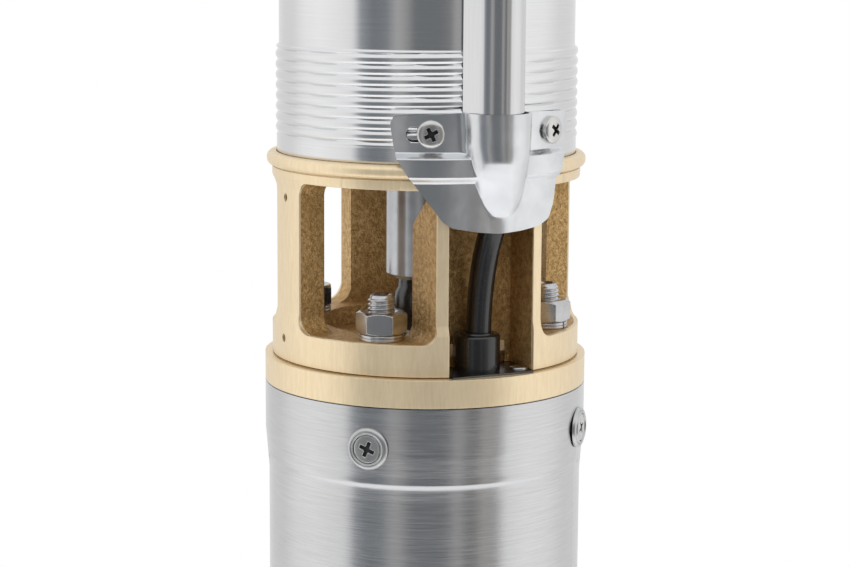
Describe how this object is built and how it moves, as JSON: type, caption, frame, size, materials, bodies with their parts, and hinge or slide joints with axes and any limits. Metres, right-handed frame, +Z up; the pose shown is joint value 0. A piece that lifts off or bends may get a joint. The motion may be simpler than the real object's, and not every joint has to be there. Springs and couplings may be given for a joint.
{
  "type": "borehole submersible pump",
  "caption": "Slim upright borehole pump: steel motor below, cast brass intake cage, ribbed steel barrel with cable guard, brass outlet with rope lugs, and a coiled lead.",
  "frame": {"origin": "on the pump's axis in the plane of the motor's flat base rim", "axes": "+Z up along the shaft to the outlet; -Y towards the cable guard; +X to the right when the guard is seen from in front"},
  "size_m": [0.1035, 0.2101, 0.6588],
  "materials": {
    "stainless_brushed": "fine circumferential brushing",
    "stainless_polished": "polished stainless sheet",
    "steel_bright": "bright turned or cold-headed steel",
    "brass_cast": "cast brass, machined where it fits",
    "copper": "enamelled copper wire",
    "laminations": "stacked electrical sheet",
    "rubber_black": "black rubber",
    "carbon": "carbon bearing material",
    "stage_plastic": "moulded engineering plastic"
  },
  "bodies": {
    "housing": {"base_screws": "steel_bright", "cable_guard": "stainless_polished", "clip_screws": "steel_bright", "cup_washers": "steel_bright", "diaphragm": "rubber_black", "diaphragm_cover": "steel_bright", "discharge_head": "brass_cast", "gland_plate": "steel_bright", "gland_plate_screw": "steel_bright", "guard_shoe": "stainless_polished", "guard_top_clip": "stainless_polished", "lead_cable": "rubber_black", "lead_coil": "rubber_black", "lead_end": "rubber_black", "lead_gland": "rubber_black", "lower_bracket": "brass_cast", "lower_bush": "carbon", "motor_base": "brass_cast", "motor_shell": "stainless_brushed", "motor_top_flange": "brass_cast", "pump_barrel": "stainless_brushed", "shaft_seal": "rubber_black", "shell_screws": "steel_bright", "shoe_screws": "steel_bright", "spring_washers": "steel_bright", "stage_bowl_1": "stage_plastic", "stage_bowl_2": "stage_plastic", "stage_bowl_3": "stage_plastic", "stage_bowl_4": "stage_plastic", "stage_bowl_5": "stage_plastic", "stator_core": "laminations", "stator_windings": "copper", "stud_nuts": "steel_bright", "studs": "steel_bright", "suction_casing": "brass_cast", "thrust_pads": "steel_bright", "top_bearing_bush": "rubber_black", "top_bearing_spider": "brass_cast", "upper_bush": "carbon", "valve_cage": "stage_plastic", "valve_seat": "brass_cast", "valve_spring": "steel_bright"},
    "rotor": {"motor_shaft": "steel_bright", "rotor_core": "laminations", "thrust_disc": "carbon", "sand_slinger": "rubber_black", "coupling": "steel_bright", "pump_shaft": "steel_bright", "shaft_sleeves": "steel_bright", "bearing_sleeve": "steel_bright", "shaft_nut": "steel_bright", "impeller_1": "stage_plastic", "impeller_2": "stage_plastic", "impeller_3": "stage_plastic", "impeller_4": "stage_plastic", "impeller_5": "stage_plastic"},
    "valve": {"valve_poppet": "stage_plastic", "valve_seal": "rubber_black"}
  },
  "joints": [
    {"name": "rotor_spin", "type": "hinge", "parent": "housing", "child": "rotor", "pos_m": [0, 0, 0.3], "axis": [0, 0, 1], "continuous": true},
    {"name": "valve_lift", "type": "slide", "parent": "housing", "child": "valve", "axis": [0, 0, 1], "range_m": [0, 0.01], "stiffness_N_per_m": 60, "springref_m": -0.02, "deforming": ["valve_spring"]}
  ]
}
